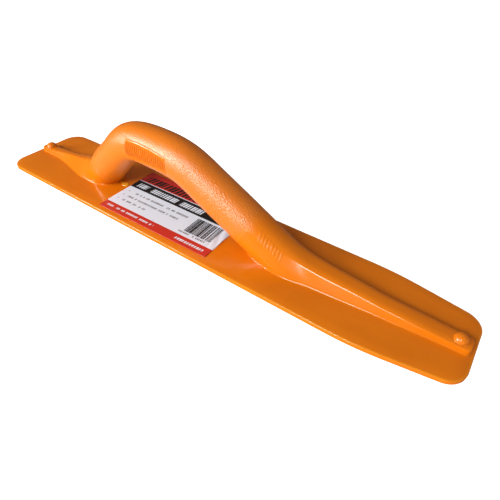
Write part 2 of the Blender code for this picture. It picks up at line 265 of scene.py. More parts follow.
# Orange plastic: refractive index of the glossy mouldings and of the textured grip,
# and its colours
BODY_IOR = 1.52
GRIP_IOR = 1.72
ORANGE = (0.60, 0.140, 0.002, 1.0)
LIGHT_ORANGE = (0.66, 0.162, 0.003, 1.0)
DEEP_ORANGE = (0.55, 0.122, 0.002, 1.0)
# Lighter orange of the specks on the grain: partly random tone, partly painted sheen
SPECK_AND_SHEEN_ORANGE = (0.74, 0.21, 0.012, 1.0)
# Amber colour of the painted highlight on the rim's crest and the mould pad
PAINTED_HIGHLIGHT_AMBER = (0.86, 0.42, 0.03, 1.0)

# Label print: colours, and where each band lies across the label
PRINT_RED = (0.50, 0.026, 0.015, 1.0)
PRINT_BLACK = (0.011, 0.009, 0.008, 1.0)
PRINT_GREY = (0.16, 0.155, 0.16, 1.0)
FILM_WHITE = (0.66, 0.72, 0.80, 1.0)
NEAR_BAND = (-40.0, -22.5)
MIDDLE_BAND = (4.0, 15.4)
FAR_BAND = (16.1, 40.0)

# Three rows of small print, each with a dot before it: where the row ends, its
# middle across the label, and its seed
SMALL_PRINT = ((15.2, -2.4, 3.0), (10.4, -8.8, 40.0), (-18.3, -15.0, 80.0))
SMALL_PRINT_START = -45.0
DOT_X = (-50.2, -49.2)
DOT_HALF = 0.5

# Groups of large dashes on the middle band: ends and seed
LARGE_PRINT = (((-50.5, -39.5), 5.0), ((-34.0, -5.5), 7.0), ((-1.5, 21.2), 9.0))

# Block of upright bars
BARS_X = (22.8, 48.4)
BARS_MIDDLE = -7.6
BARS_HEIGHT = 18.6

# Set, in metres: the floor's half size, how far below the sole it is and how much
# light it gives off, and the point that the lamps face
FLOOR_REACH = 4.0
FLOOR_DROP = 0.0003
FLOOR_GLOW = 0.8
LIGHT_AIM = (0.0, 0.0, 0.02)

# Brightness of the room itself, as a fill light and in reflections, and how much
# more of the fill comes from the toe's side
ROOM_BACKDROP = 0.9
ROOM_FILL = 0.32
ROOM_SHEEN = 0.08
ROOM_TILT = 0.8


# ---------------------------------------------------------------- curves

class Spline:
    """Natural cubic spline through rows of values, straight beyond its ends."""

    def __init__(self, stations, rows):
        self.x = np.asarray(stations, float)
        self.y = np.asarray(rows, float)
        step = np.diff(self.x)
        count = len(self.x)
        system = np.eye(count)
        right = np.zeros_like(self.y)
        for i in range(1, count - 1):
            system[i, i - 1:i + 2] = step[i - 1], 2.0 * (step[i - 1] + step[i]), step[i]
            rise = (self.y[i + 1] - self.y[i]) / step[i]
            fall = (self.y[i] - self.y[i - 1]) / step[i - 1]
            right[i] = 6.0 * (rise - fall)
        self.bend = np.linalg.solve(system, right)

    def __call__(self, at):
        """Values and slopes at each station."""
        at = np.asarray(at, float)
        inside = np.clip(at, self.x[0], self.x[-1])
        i = np.clip(np.searchsorted(self.x, inside) - 1, 0, len(self.x) - 2)
        step = (self.x[i + 1] - self.x[i])[..., None]
        a = (self.x[i + 1] - inside)[..., None] / step
        b = 1.0 - a
        low, high = self.bend[i], self.bend[i + 1]
        value = a * self.y[i] + b * self.y[i + 1]
        value = value + ((a ** 3 - a) * low + (b ** 3 - b) * high) * step ** 2 / 6.0
        slope = (self.y[i + 1] - self.y[i]) / step
        slope = slope + ((3 * b ** 2 - 1) * high - (3 * a ** 2 - 1) * low) * step / 6.0
        return value + slope * (at - inside)[..., None], slope


def ramp(value, low, high):
    """Smooth step from 0 at low to 1 at high."""
    share = np.clip((value - low) / (high - low), 0.0, 1.0)
    return share * share * (3.0 - 2.0 * share)


CHORDS = np.hypot(*np.diff(HANDLE_PATH[:, :2], axis=0).T)
HANDLE = Spline(np.concatenate(([0.0], np.cumsum(CHORDS))), HANDLE_PATH)
HANDLE_LENGTH = float(CHORDS.sum())

# Points along the centreline, and a little past its ends, for a first guess at the
# one that is nearest to a given point
TRACE_STEP = 2.0
TRACE_BEFORE = 30.0
TRACE_AFTER = 40.0
TRACE_CHUNK = 40000
TRACE_AT = np.arange(-TRACE_BEFORE, HANDLE_LENGTH + TRACE_AFTER, TRACE_STEP)
TRACE = HANDLE(TRACE_AT)[0][:, :2]


def handle_radius(at):
    """Outer radius of the handle at distances along its centreline."""
    return HANDLE(np.clip(at, 0.0, HANDLE_LENGTH))[0][..., 2]


def nearest_on_handle(x, z):
    """Distance along the centreline of the point nearest to each (x, z)."""
    flat_x, flat_z = np.ravel(x), np.ravel(z)
    at = np.empty(flat_x.shape)
    for start in range(0, len(flat_x), TRACE_CHUNK):
        part = slice(start, start + TRACE_CHUNK)
        gap = (flat_x[part, None] - TRACE[:, 0]) ** 2 + (flat_z[part, None] - TRACE[:, 1]) ** 2
        at[part] = TRACE_AT[np.argmin(gap, axis=1)]
    for _ in range(3):
        value, slope = HANDLE(at)
        along = (flat_x - value[:, 0]) * slope[:, 0] + (flat_z - value[:, 1]) * slope[:, 1]
        at = at + np.clip(along / (slope[:, 0] ** 2 + slope[:, 1] ** 2), -TRACE_STEP, TRACE_STEP)
    return at.reshape(np.shape(x))


# ---------------------------------------------------------------- fields
# A field is negative inside a shape and about as large as the distance to it.

def soft_min(a, b, width):
    """The smaller of two fields, with the corner between them filled."""
    overlap = np.maximum(width - np.abs(a - b), 0.0) / width
    return np.minimum(a, b) - overlap ** 3 * width / 6.0


def soft_max(a, b, width):
    """The larger of two fields, with the edge between them rounded."""
    return -soft_min(-a, -b, width)


def frame_tube_radius(at):
    """Full size at the feet; inside the grip a bar, which reaches full size near its front end."""
    full = handle_radius(at)
    tuck = SEAM_TUCK * ramp(at, GRIP_START - SEAM_TUCK_START, GRIP_START)
    tuck = tuck * (1.0 - ramp(at, GRIP_END - SEAM_TUCK_END, GRIP_END))
    in_grip = ramp(at, GRIP_START + CORE_START[0], GRIP_START + CORE_START[1])
    in_grip = in_grip * (1.0 - ramp(at, GRIP_END - CORE_END[0], GRIP_END - CORE_END[1]))
    return full - tuck - (full - CORE_RADIUS) * in_grip


def grip_radius(at):
    """The sleeve's outer radius: a small round at the rear end, feathered into the foot in front."""
    edge = np.clip(1.0 - (at - GRIP_START) / GRIP_EDGE_ROUND, 0.0, 1.0)
    feather = ramp(at, GRIP_END - GRIP_FEATHER, GRIP_END)
    return handle_radius(at) - GRIP_EDGE_DROP * edge ** 2 - SEAM_TUCK * feather


def spine_field(x, y, z, sections, free_end):
    """An arched ridge on the blade, with a rounded free end."""
    shape = Spline(sections[:, 0], sections[:, 1:])
    inside = np.clip(x, sections[0, 0], sections[-1, 0])
    base, arch, shoulder, crest = np.moveaxis(shape(inside)[0], -1, 0)
    lean = np.arctan2(base - arch, shoulder - BLADE_TOP)
    side = np.cos(lean) * (np.abs(y) - base) + np.sin(lean) * (z - BLADE_TOP)
    across = np.minimum(np.abs(y) / arch, 1.5)
    fall = SPINE_ARCH_POWER * (crest - shoulder) / arch * across ** (SPINE_ARCH_POWER - 1)
    top = (z - crest + (crest - shoulder) * across ** SPINE_ARCH_POWER) / np.sqrt(1.0 + fall ** 2)
    sides = soft_max(side, top, SHOULDER_ROUND)
    beyond = (free_end - x) if free_end == sections[0, 0] else (x - free_end)
    other = (x - sections[-1, 0]) if free_end == sections[0, 0] else (sections[0, 0] - x)
    wall = np.abs(y) - base - SPINE_END_ROUND / 6
    plan = soft_max(wall, beyond, SPINE_PLAN_ROUND)
    return np.maximum(soft_max(sides, plan, SPINE_END_ROUND), other)


def body_field(x, y, z, at=None):
    """Feet, core bar and spine, run together."""
    if at is None:
        at = nearest_on_handle(x, z)
    centre = HANDLE(at)[0]
    gap = np.sqrt((x - centre[..., 0]) ** 2 + y ** 2 + (z - centre[..., 1]) ** 2)
    tube = gap - frame_tube_radius(at)
    rear = spine_field(x, y, z, REAR_SPINE, REAR_SPINE[0, 0])
    front = spine_field(x, y, z, FRONT_SPINE, FRONT_SPINE[-1, 0])
    return soft_min(soft_min(tube, rear, REAR_FOOT_BLEND), front, FRONT_FOOT_BLEND)


def blade_surface(x, y):
    """Height of the blade's top, which rolls down towards its edge."""
    inset = np.minimum(BLADE_LENGTH / 2 - np.abs(x), BLADE_WIDTH / 2 - np.abs(y))
    share = np.clip((inset - RIM_ROUND) / (RIM_ROLL_WIDTH - RIM_ROUND), 0.0, 1.0)
    return BLADE_TOP - RIM_ROLL_DROP * (1.0 - share) ** 2


def frame_field(x, y, z, at=None):
    """The spine frame with its fillet on the blade, cut off below the surface."""
    body = body_field(x, y, z, at)
    surface = blade_surface(x, y) - BASE_SINK
    flared = soft_min(body, z - surface, BASE_BLEND)
    trimmed = np.maximum(flared, body - BASE_BLEND - BASE_MARGIN)
    return np.maximum(trimmed, surface - BASE_DEPTH - z)


SLOPE_PROBE = 0.01


def slopes(field, points):
    """Field values and gradients at points."""
    x, y, z = points.T
    here = field(x, y, z)
    beyond = (
        field(x + SLOPE_PROBE, y, z),
        field(x, y + SLOPE_PROBE, z),
        field(x, y, z + SLOPE_PROBE),
    )
    return here, np.stack([(there - here) / SLOPE_PROBE for there in beyond], axis=1)


# ---------------------------------------------------------------- meshes

def surface_net(values, axes):
    """Vertices and quads of the zero surface of a field sampled along three axes."""
    inside = values < 0.0
    size = np.array(values.shape)
    corners = list(itertools.product((0, 1), repeat=3))
    views = [
        inside[a:size[0] - 1 + a, b:size[1] - 1 + b, c:size[2] - 1 + c] for a, b, c in corners
    ]
    mixed = np.logical_or.reduce(views) & ~np.logical_and.reduce(views)
    cells = np.argwhere(mixed)
    number = np.full(mixed.shape, -1)
    number[mixed] = np.arange(len(cells))
    at_corner = [values[tuple((cells + corner).T)] for corner in corners]
    total = np.zeros((len(cells), 3))
    count = np.zeros(len(cells))
    for first, second in itertools.combinations(range(8), 2):
        start, end = np.array(corners[first]), np.array(corners[second])
        if np.abs(end - start).sum() != 1:
            continue
        a, b = at_corner[first], at_corner[second]
        crosses = (a < 0.0) != (b < 0.0)
        share = np.where(crosses, a / np.where(crosses, a - b, 1.0), 0.0)
        total += crosses[:, None] * (start + share[:, None] * (end - start))
        count += crosses
    place = (cells + total / count[:, None]).T
    vertices = np.stack([np.interp(p, np.arange(len(axis)), axis) for p, axis in zip(place, axes)], axis=1)
    quads = []
    for axis in range(3):
        sides = [(axis + 1) % 3, (axis + 2) % 3]
        near = [slice(None)] * 3
        far = [slice(None)] * 3
        near[axis], far[axis] = slice(None, -1), slice(1, None)
        edges = np.argwhere(inside[tuple(near)] != inside[tuple(far)])
        round_edge = []
        for back_u, back_v in ((1, 1), (0, 1), (0, 0), (1, 0)):
            cell = edges.copy()
            cell[:, sides[0]] -= back_u
            cell[:, sides[1]] -= back_v
            round_edge.append(number[tuple(cell.T)])
        quad = np.stack(round_edge, axis=1)
        flip = ~inside[tuple(edges.T)]
        quad[flip] = quad[flip][:, ::-1]
        quads.append(quad)
    return vertices, np.concatenate(quads)


def settle(field, vertices, rounds=3):
    """Moves vertices on to the zero surface and returns them with its normals."""
    for _ in range(rounds):
        here, slope = slopes(field, vertices)
        squared = np.maximum((slope ** 2).sum(axis=1), 0.05)
        shift = -(here / squared)[:, None] * slope
        length = np.linalg.norm(shift, axis=1)[:, None]
        vertices = vertices + shift * np.minimum(1.0, 0.5 / np.maximum(length, 1e-9))
    slope = slopes(field, vertices)[1]
    return vertices, slope / np.maximum(np.linalg.norm(slope, axis=1), 1e-9)[:, None]


def new_piece(name, vertices, faces, material, normals=None, attributes=None):
    """A smooth mesh object in metres, riding on the part's one body."""
    mesh = bpy.data.meshes.new(name)
    mesh.from_pydata((np.asarray(vertices) * MM).tolist(), [], [list(face) for face in faces])
    mesh.validate()
    mesh.shade_smooth()
    for title, values in (attributes or {}).items():
        layer = mesh.attributes.new(title, "FLOAT", "POINT")
        layer.data.foreach_set("value", np.asarray(values, np.float32))
    if normals is not None:
        mesh.normals_split_custom_set_from_vertices(np.asarray(normals).tolist())
    mesh.materials.append(material)
    piece = bpy.data.objects.new(name, mesh)
    bpy.context.scene.collection.objects.link(piece)
    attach(piece, "root")
    return piece


def ring_faces(rings, count, closed=False):
    """Quads between rings of count vertices each; closed joins the last to the first."""
    faces = []
    last = rings if closed else rings - 1
    for ring in range(last):
        base, above = ring * count, (ring + 1) % rings * count
        for i in range(count):
            j = (i + 1) % count
            faces.append((base + i, base + j, above + j, above + i))
    return faces


def capped_rings(rings, count):
    """Faces of a solid made of rings of count vertices, closed by a face at each end."""
    faces = ring_faces(rings, count)
    faces.append(tuple(reversed(range(count))))
    last = (rings - 1) * count
    faces.append(tuple(range(last, last + count)))
    return faces


# ---------------------------------------------------------------- blade

def outline_arcs():
    """Arcs of the outline at y >= 0, heel to toe: centre, radius, angles."""
    half_length, half_width = BLADE_LENGTH / 2, BLADE_WIDTH / 2
    corners = [
        Vector((-half_length, 0.0)),
        Vector((-half_length, half_width)),
        Vector((half_length - TOE_TAPER_LENGTH, half_width)),
        Vector((half_length, TOE_WIDTH / 2)),
        Vector((half_length, 0.0)),
    ]
    arcs = []
    radii = (HEEL_CORNER_RADIUS, TAPER_BLEND_RADIUS, TOE_CORNER_RADIUS)
    for i, radius in enumerate(radii, start=1):
        back = (corners[i - 1] - corners[i]).normalized()
        ahead = (corners[i + 1] - corners[i]).normalized()
        half_angle = back.angle(ahead) / 2
        centre = corners[i] + (back + ahead).normalized() * (radius / math.sin(half_angle))
        reach = radius / math.tan(half_angle)
        feet = [corners[i] + side * reach - centre for side in (back, ahead)]
        arcs.append((centre, radius, *[math.atan2(foot.y, foot.x) for foot in feet]))
    return arcs


def outline_sides(inset):
    """Start and end of each short side of the closed outline, moved inward by inset."""
    half = []
    for centre, radius, first, last in outline_arcs():
        reach = radius - inset
        for k in range(OUTLINE_ARC_STEPS + 1):
            angle = first + (last - first) * k / OUTLINE_ARC_STEPS
            half.append((centre.x + reach * math.cos(angle), centre.y + reach * math.sin(angle)))
    corners = half + [(x, -y) for x, y in reversed(half)]
    return list(zip(corners, corners[1:] + corners[:1]))


def outline(inset):
    """Points round the inset outline; every inset gives the same number of them."""
    counts = [max(1, round(math.dist(start, end) / OUTLINE_SPACING)) for start, end in outline_sides(0.0)]
    points = []
    for (start, end), count in zip(outline_sides(inset), counts):
        for k in range(count):
            share = k / count
            x = start[0] + (end[0] - start[0]) * share
            y = start[1] + (end[1] - start[1]) * share
            points.append((x, y))
    return points


def rim_profile():
    """Inset and height of each ring, from the sole up to the flat top."""
    edge_top = BLADE_TOP - RIM_ROLL_DROP
    profile = [(FLAT_INSET, 0.0), (SOLE_ROUND + SOLE_MARGIN, 0.0)]
    for k in range(SOLE_STEPS + 1):
        angle = math.radians(90) * k / SOLE_STEPS
        profile.append((SOLE_ROUND * (1 - math.sin(angle)), SOLE_ROUND * (1 - math.cos(angle))))
    for k in range(RIM_STEPS + 1):
        angle = math.radians(RIM_ROUND_END) * k / RIM_STEPS
        profile.append((RIM_ROUND * (1 - math.cos(angle)), edge_top - RIM_ROUND * (1 - math.sin(angle))))
    for k in range(1, ROLL_STEPS + 1):
        share = k / ROLL_STEPS
        inset = RIM_ROUND + (RIM_ROLL_WIDTH - RIM_ROUND) * share
        profile.append((inset, BLADE_TOP - RIM_ROLL_DROP * (1 - share) ** 2))
    profile.append((FLAT_INSET, BLADE_TOP))
    return profile


def build_blade(material):
    """Rings of the rim's profile, with strips of quads across the sole and the top."""
    vertices = []
    highlight_tint = []
    profile = rim_profile()
    for inset, height in profile:
        ring = outline(inset)
        count = len(ring)
        vertices.extend((x, y, height) for x, y in ring)
        edge_top = BLADE_TOP - RIM_ROLL_DROP
        # Painted highlight: rings on the rim's crest get an amber tint
        on_crest = ramp(height, edge_top - RIM_ROUND, edge_top) * ramp(inset, RIM_PAINTED_HIGHLIGHT_WIDTH, RIM_ROUND)
        highlight_tint.extend([RIM_PAINTED_HIGHLIGHT * on_crest] * count)
    faces = ring_faces(len(profile), count)
    half = count // 2
    top = (len(profile) - 1) * count
    for base, turn in ((0, -1), (top, 1)):
        for k in range(half - 1):
            quad = (base + k, base + k + 1, base + count - 2 - k, base + count - 1 - k)
            faces.append(quad[::turn])
    faces = [face[::-1] for face in faces]
    blade = new_piece("float_blade", vertices, faces, material, attributes={"highlight_tint": highlight_tint})
    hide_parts("blade")


def build_pad(material):
    """Small rounded pad that stands on the blade beside the rear foot."""
    vertices = []
    for share, height in PAD_PROFILE:
        for k in range(PAD_COUNT):
            angle = math.tau * k / PAD_COUNT
            across, along = math.sin(angle), math.cos(angle)
            along = math.copysign(abs(along) ** PAD_PLAN_POWER, along)
            across = math.copysign(abs(across) ** PAD_PLAN_POWER, across)
            x = PAD_CENTRE[0] + PAD_SIZE[0] / 2 * share * along
            y = PAD_CENTRE[1] + PAD_SIZE[1] / 2 * share * across
            vertices.append((x, y, BLADE_TOP + height))
    faces = capped_rings(len(PAD_PROFILE), PAD_COUNT)
    # Painted highlight: the whole pad gets the full amber tint, so it looks lit
    highlight_tint = {"highlight_tint": np.ones(len(vertices))}
    pad = new_piece("mould_pad", vertices, faces, material, attributes=highlight_tint)


# ---------------------------------------------------------------- spine, feet and grip

def uneven_axis(runs):
    """Sample places along an axis: each run gives its start, its end and its spacing."""
    parts = [np.linspace(a, b, round((b - a) / step), endpoint=False) for a, b, step in runs]
    return np.concatenate(parts + [[runs[-1][1]]])


def foot_grain(vertices, stations):
    """Texture on the feet: it starts lower down on top of the rear foot than at its sides."""
    value, slope = HANDLE(stations)
    away_x, away_z = vertices[:, 0] - value[:, 0], vertices[:, 2] - value[:, 1]
    lift = (away_z * slope[:, 0] - away_x * slope[:, 1]) / np.hypot(slope[:, 0], slope[:, 1])
    reach = np.sqrt(away_x ** 2 + vertices[:, 1] ** 2 + away_z ** 2)
    start = GRAIN_START_SIDE - (GRAIN_START_SIDE - GRAIN_START_TOP) * np.clip(lift / reach, 0.0, 1.0)
    grain = ramp(stations, start - GRAIN_START_FADE, start + GRAIN_START_FADE)
    grain = grain * (1.0 - ramp(stations, *GRAIN_END))
    return grain * (1.0 - ramp(reach - handle_radius(stations), *GRAIN_OFF_TUBE))


def build_frame(material):
    """The spine, the feet and the core bar as one surface, run into each other."""
    x, y, z = uneven_axis(FRAME_X_RUNS), uneven_axis(FRAME_Y_RUNS), uneven_axis(FRAME_Z_RUNS)
    flat_x, flat_z = np.meshgrid(x, z, indexing="ij")
    at = nearest_on_handle(flat_x, flat_z)[:, None, :]
    values = frame_field(x[:, None, None], y[None, :, None], z[None, None, :], at)
    vertices, quads = surface_net(values, (x, y, z))
    vertices, normals = settle(frame_field, vertices)
    stations = nearest_on_handle(vertices[:, 0], vertices[:, 2])
    grain = {"grain": foot_grain(vertices, stations)}
    piece = new_piece("spine_and_feet", vertices, quads, material, normals, grain)
    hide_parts("spine_frame")


def handle_point(at, angle, radius):
    """A point off the centreline; angle 0 is the outer side, -90 degrees the near side."""
    value, slope = HANDLE(at)
    along = slope[..., :2] / np.linalg.norm(slope[..., :2], axis=-1)[..., None]
    lift = radius * np.cos(angle)
    x = value[..., 0] - along[..., 1] * lift
    z = value[..., 1] + along[..., 0] * lift
    return np.stack(np.broadcast_arrays(x, radius * np.sin(angle), z), axis=-1)


def panel_share(x):
    """1 between the panel's ends and 0 outside them."""
    start, end = PANEL_X
    begun = ramp(x, start - PANEL_END_SOFTNESS, start + PANEL_END_SOFTNESS)
    return begun * (1.0 - ramp(x, end - PANEL_END_SOFTNESS, end + PANEL_END_SOFTNESS))


def panel_stations():
    """Distances along the centreline of the panels' two ends."""
    return nearest_on_handle(np.array(PANEL_X), np.full(2, PANEL_LEVEL))


def panel_floor(at):
    """Distance from the middle of the flat that the panels are cut to."""
    return np.interp(at, panel_stations(), PANEL_FLOOR)


def sink_panels(points, at):
    """Cuts both sides of the grip flat at the panels, and leaves ribs standing.

    Returns the moved points, and how much of the grip's texture each one keeps.
    """
    x, y, z = points.T
    excess = np.abs(y) - panel_floor(at)
    share = panel_share(x)
    turn = (x - PANEL_X[0]) / PANEL_RIB_PITCH * math.tau
    standing = ramp(-np.cos(turn), *PANEL_RIB_FLANK)
    lower = z < HANDLE(at)[0][:, 1]
    bead = PANEL_BEAD_HEIGHT * np.exp(-(excess / PANEL_BEAD_WIDTH) ** 2)
    bead = bead * np.where(lower, PANEL_BEAD_GAP + (1.0 - PANEL_BEAD_GAP) * standing, 1.0)
    cut = 0.5 * (excess + np.sqrt(excess ** 2 + PANEL_CUT_SOFTNESS ** 2))
    depth = (cut * (1.0 - PANEL_RIB_HEIGHT * standing) - bead) * share
    texture = 1.0 - share * ramp(excess, -2.0 * PANEL_BEAD_WIDTH, -PANEL_BEAD_WIDTH)
    return np.stack([x, y - np.sign(y) * depth, z], axis=1), texture


def panel_rows():
    """Rows across a panel as shares of its half height, close together at its edges."""
    edge = np.array(PANEL_EDGE_ROWS)
    middle = np.linspace(-PANEL_MIDDLE_REACH, PANEL_MIDDLE_REACH, PANEL_MIDDLE_COUNT)
    return np.concatenate((-edge[::-1], middle, edge))


def grip_angles(at):
    """Angles round the grip at each station, with rows that follow the panels' edges."""
    half = np.arccos(np.clip(panel_floor(at) / handle_radius(at), *PANEL_FLOOR_SHARE))[:, None]
    rows = half * panel_rows()
    reach = rows[:, -1:]
    share = (np.arange(GRIP_COARSE_COUNT) + 1.0) / (GRIP_COARSE_COUNT + 1.0)
    between = (np.pi - 2.0 * reach) * share + reach
    quarter = np.pi / 2
    return np.concatenate((rows - quarter, between - quarter, rows + quarter, between + quarter), axis=1)


def build_grip(material):
    """Sleeve round the core bar, with a panel sunk into each side."""
    panel_start, panel_end = panel_stations() + np.array((-GRIP_PANEL_MARGIN, GRIP_PANEL_MARGIN))
    rear_count, panel_count, front_count = GRIP_RING_COUNTS
    stations = np.concatenate((
        GRIP_START + np.array(GRIP_EDGE_RINGS),
        np.linspace(GRIP_START + GRIP_EDGE_END, panel_start, rear_count, endpoint=False),
        np.linspace(panel_start, panel_end, panel_count, endpoint=False),
        np.linspace(panel_end, GRIP_END, front_count),
    ))
    angles = grip_angles(stations)
    count = angles.shape[1]
    outer = handle_point(stations[:, None], angles, grip_radius(stations)[:, None]).reshape(-1, 3)
    outer, texture = sink_panels(outer, np.repeat(stations, count))
    bore_at = np.linspace(GRIP_END, GRIP_START, BORE_RINGS)
    bore = handle_point(bore_at[:, None], grip_angles(bore_at), BORE_RADIUS).reshape(-1, 3)
    faces = ring_faces(len(stations) + len(bore_at), count, closed=True)
    texture = texture * np.repeat(1.0 - ramp(stations, *GRAIN_END), count)
    grain = {"grain": np.concatenate([texture, np.zeros(len(bore))])}
    piece = new_piece("grip", np.concatenate([outer, bore]), faces, material, attributes=grain)
    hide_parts("grip_sleeve")


def build_foot_ribs(material):
    """Short ribs on the front foot, each a low rounded bar that follows the surface."""
    steps, around = FOOT_RIB_STEPS, FOOT_RIB_AROUND
    vertices, faces = [], []
    for at in np.linspace(*FOOT_RIB_AT, FOOT_RIB_COUNT):
        angles = np.radians(np.linspace(*FOOT_RIB_ANGLES, steps))
        slanted = at + FOOT_RIB_SLANT * np.linspace(0.0, 1.0, steps)
        spine = handle_point(slanted, angles, handle_radius(slanted))
        spine, up = settle(body_field, spine)
        run = np.gradient(spine, axis=0)
        run = run / np.linalg.norm(run, axis=1)[:, None]
        side = np.cross(up, run)
        base = len(vertices)
        for k in range(steps):
            from_middle = abs(2.0 * k / (steps - 1) - 1.0)
            taper = math.sqrt(max(0.0, 1.0 - from_middle ** FOOT_RIB_END_POWER))
            for i in range(around):
                turn = math.tau * i / around
                out = side[k] * math.cos(turn) * FOOT_RIB_WIDTH / 2
                out = out + up[k] * math.sin(turn) * FOOT_RIB_HEIGHT
                vertices.append(spine[k] + out * max(taper, FOOT_RIB_END_SHARE))
        faces.extend(tuple(base + v for v in face) for face in capped_rings(steps, around))
    grain = {"grain": np.full(len(vertices), FOOT_RIB_GRAIN)}
    ribs = new_piece("front_foot_ribs", vertices, faces, material, attributes=grain)


# ---------------------------------------------------------------- studs and label

def stud_profile():
    """Radius and height of each ring of a stud: skirt, fillet and dome."""
    foot = STUD_SEAT - STUD_FILLET_SINK
    profile = [(STUD_RADIUS + STUD_FILLET, STUD_SEAT - STUD_SKIRT), (STUD_RADIUS + STUD_FILLET, foot)]
    for k in range(1, STUD_FILLET_STEPS + 1):
        angle = math.radians(90) * k / STUD_FILLET_STEPS
        radius = STUD_RADIUS + STUD_FILLET * (1 - math.sin(angle))
        profile.append((radius, foot + STUD_FILLET * (1 - math.cos(angle))))
    for k in range(1, STUD_DOME_STEPS):
        angle = math.radians(90) * k / STUD_DOME_STEPS
        height = STUD_SEAT + STUD_EDGE + (STUD_RISE - STUD_EDGE) * math.sin(angle)
        profile.append((STUD_RADIUS * math.cos(angle), height))
    return profile


def build_stud(node, material):
    """Domed stud where the CAD has the one with this node name."""
    low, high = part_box(node)
    centre = (low + high) / 2 / MM
    profile = stud_profile()
    vertices = []
    for radius, height in profile:
        for k in range(STUD_COUNT):
            angle = math.tau * k / STUD_COUNT
            vertices.append((centre.x + radius * math.cos(angle), radius * math.sin(angle), height))
    faces = capped_rings(len(profile), STUD_COUNT)
    grain = {"grain": np.full(len(vertices), STUD_GRAIN)}
    piece = new_piece(node + "_dome", vertices, faces, material, attributes=grain)
    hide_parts(node)


def label_height(x, y):
    """The film lies flat, but for a few soft wrinkles at its front end."""
    near_front = ramp(x, *WRINKLE_X) * ramp(y, *WRINKLE_Y)
    wrinkle = 0.5 + 0.5 * math.sin(WRINKLE_WAVE[0] * x + WRINKLE_WAVE[1] * y)
    corner = ramp(math.hypot(x - LABEL_LENGTH / 2, y + LABEL_WIDTH / 2), CORNER_REACH, 0.0)
    return LABEL_LIFT + WRINKLE_HEIGHT * near_front * wrinkle + CORNER_HEIGHT * corner


def build_label(material):
    """Thin film with a front and a back layer of vertices, joined round its rim."""
    columns, rows = LABEL_COLUMNS, LABEL_ROWS
    vertices = []
    for depth in (0.0, LABEL_LIFT - LABEL_BACK_LIFT):
        for i in range(columns + 1):
            for j in range(rows + 1):
                x = (i / columns - 0.5) * LABEL_LENGTH
                y = (j / rows - 0.5) * LABEL_WIDTH
                vertices.append((x, y, label_height(x, y) - depth))
    faces = []
    layer = (columns + 1) * (rows + 1)
    for i in range(columns):
        for j in range(rows):
            a = i * (rows + 1) + j
            b = a + rows + 1
            faces.append((a, b, b + 1, a + 1))
            faces.append(tuple(layer + v for v in (a, a + 1, b + 1, b)))
    rim = [i * (rows + 1) for i in range(columns + 1)]
    rim += [columns * (rows + 1) + j for j in range(1, rows + 1)]
    rim += [i * (rows + 1) + rows for i in range(columns - 1, -1, -1)]
    rim += [j for j in range(rows - 1, 0, -1)]
    for a, b in zip(rim, rim[1:] + rim[:1]):
        faces.append((a, a + layer, b + layer, b))
    piece = new_piece("printed_label", vertices, faces, material)
    place = Matrix.Translation(Vector((*LABEL_CENTRE, BLADE_TOP)) * MM)
    piece.matrix_world = place @ Matrix.Rotation(math.radians(LABEL_TURN), 4, "Z")
    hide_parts("label")


# ---------------------------------------------------------------- materials

class Graph:
    """Short calls that build one material's nodes."""

    def __init__(self, name):
        self.material = bpy.data.materials.new(name)
        self.material.use_nodes = True
        self.tree = self.material.node_tree
        self.shader = self.tree.nodes["Principled BSDF"]
        self.place = self.tree.nodes.new("ShaderNodeTexCoord").outputs["Object"]

    def feed(self, socket, value):
        """Links a socket to another, or sets it to a plain value."""
        if isinstance(value, bpy.types.NodeSocket):
            self.tree.links.new(value, socket)
        else:
            socket.default_value = value

    def math(self, operation, *values):
        """Result of one operation on numbers or sockets."""
        node = self.tree.nodes.new("ShaderNodeMath")
        node.operation = operation
        for socket, value in zip(node.inputs, values):
            self.feed(socket, value)
        return node.outputs[0]

    def noise(self, size, detail=2.0, stretch=(1.0, 1.0, 1.0)):
        """Noise whose features are about size millimetres across."""
        mapping = self.tree.nodes.new("ShaderNodeMapping")
        mapping.inputs["Scale"].default_value = stretch
        self.feed(mapping.inputs["Vector"], self.place)
        node = self.tree.nodes.new("ShaderNodeTexNoise")
        node.inputs["Scale"].default_value = 1.0 / (size * MM)
        node.inputs["Detail"].default_value = detail
        self.feed(node.inputs["Vector"], mapping.outputs[0])
        return node.outputs["Fac"]

    def fit(self, value, low, high, to_low=0.0, to_high=1.0):
        """Rescales a value from one range to another, held inside it."""
        node = self.tree.nodes.new("ShaderNodeMapRange")
        for socket, item in zip(node.inputs, (value, low, high, to_low, to_high)):
            self.feed(socket, item)
        return node.outputs[0]

    def mix(self, share, first, second):
        """Colour that goes from the first to the second as share goes from 0 to 1."""
        node = self.tree.nodes.new("ShaderNodeMix")
        node.data_type = "RGBA"
        self.feed(node.inputs["Factor"], share)
        self.feed(node.inputs[6], first)
        self.feed(node.inputs[7], second)
        return node.outputs[2]

    def attribute(self, name):
        """A number stored on the mesh's vertices; 0 on a mesh without it."""
        node = self.tree.nodes.new("ShaderNodeAttribute")
        node.attribute_name = name
        return node.outputs["Fac"]

    def bump(self, height, depth, under=None):
        """Bumps up to depth millimetres deep."""
        node = self.tree.nodes.new("ShaderNodeBump")
        node.inputs["Distance"].default_value = depth * MM
        self.feed(node.inputs["Height"], height)
        if under is not None:
            self.feed(node.inputs["Normal"], under)
        return node.outputs[0]

    def set(self, **values):
        """Fills the shader's sockets, named with _ for each space."""
        for name, value in values.items():
            self.feed(self.shader.inputs[name.replace("_", " ")], value)
        return self.material


